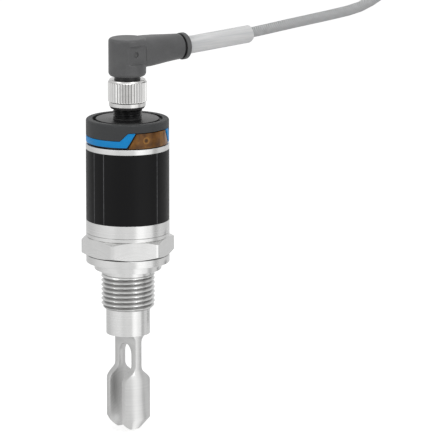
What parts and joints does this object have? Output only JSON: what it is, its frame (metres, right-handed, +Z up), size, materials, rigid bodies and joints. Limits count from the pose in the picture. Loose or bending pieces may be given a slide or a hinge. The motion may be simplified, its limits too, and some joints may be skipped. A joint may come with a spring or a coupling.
{
  "type": "tuning fork level switch",
  "caption": "Compact tuning fork level switch: slotted fork, threaded hexagon fitting, tube housing with light ring, and a right-angle plug with its cord.",
  "frame": {"origin": "centre of the flat sealing face under the lower collar, on the switch's axis", "axes": "+Z up the axis towards the plug, +X along the plug's arm, Y from tine to tine with one tine at -Y"},
  "size_m": [0.2868, 0.0386, 0.1691],
  "materials": {
    "steel": "satin turned stainless steel",
    "label": "satin printed film",
    "amber_plastic": "clear amber moulding, polished",
    "blue_plastic": "satin",
    "cap_plastic": "satin moulded",
    "black_plastic": "satin moulded",
    "contact_gold": "gold plated",
    "nickel": "nickel plated, knurled",
    "elbow_plastic": "fine matt moulding",
    "seal_rubber": "matt",
    "clear_plastic": "clear flexible tube",
    "board": "solder mask",
    "lamp": "clear",
    "ferrite": "matt ferrite",
    "can": "drawn can",
    "inner_plastic": "moulded",
    "ceramic": "fired ceramic",
    "electrode": "tinned",
    "lead_red": "silicone",
    "cord_jacket": "matt jacket",
    "core_brown": "insulation",
    "core_white": "insulation",
    "core_blue": "insulation",
    "core_black": "insulation"
  },
  "bodies": {
    "switch": {"tuning_fork": "steel", "process_fitting": "steel", "housing_tube": "steel", "wrap_label": "label", "signal_window": "amber_plastic", "blue_stripe_1": "blue_plastic", "blue_stripe_2": "blue_plastic", "cap": "cap_plastic", "connector_body": "black_plastic", "contact_pin_1": "contact_gold", "contact_pin_2": "contact_gold", "contact_pin_3": "contact_gold", "contact_pin_4": "contact_gold", "housing_seal": "seal_rubber", "signal_board": "board", "lamp_1": "lamp", "lamp_2": "lamp", "lamp_3": "lamp", "lamp_4": "lamp", "main_board": "board", "controller_chip": "black_plastic", "inductor": "ferrite", "capacitor": "can", "lead_terminal": "inner_plastic", "board_carrier": "inner_plastic", "insulator_lower": "ceramic", "insulator_upper": "ceramic", "piezo_ring_1": "ceramic", "piezo_ring_2": "ceramic", "piezo_ring_3": "ceramic", "piezo_ring_4": "ceramic", "electrode_1": "electrode", "electrode_2": "electrode", "electrode_3": "electrode", "clamp_washer": "steel", "clamp_bolt": "steel", "stack_lead_1": "lead_red", "stack_lead_2": "lead_red", "stack_lead_3": "lead_red"},
    "plug": {"elbow_body": "elbow_plastic", "socket_insert": "black_plastic", "socket_contact_1": "contact_gold", "socket_contact_2": "contact_gold", "socket_contact_3": "contact_gold", "socket_contact_4": "contact_gold", "plug_seal": "seal_rubber", "marker_sleeve": "clear_plastic", "cable": "cord_jacket", "cable_hank": "cord_jacket", "hank_tie": "seal_rubber", "cable_tail": "cord_jacket", "core_wire_brown": "core_brown", "core_wire_white": "core_white", "core_wire_blue": "core_blue", "core_wire_black": "core_black"},
    "nut": {"coupling_nut": "nickel"}
  },
  "joints": [
    {"name": "nut_turn", "type": "hinge", "parent": "plug", "child": "nut", "pos_m": [0, 0, 0.0695], "axis": [0, 0, 1], "range_deg": [0, 1800]},
    {"name": "plug_lift", "type": "slide", "parent": "switch", "child": "plug", "axis": [0, 0, 1], "range_m": [0, 0.005]}
  ],
  "couplings": [
    {"joint": "nut_turn", "follows": "plug_lift", "rad_per_m": 6283.2}
  ]
}
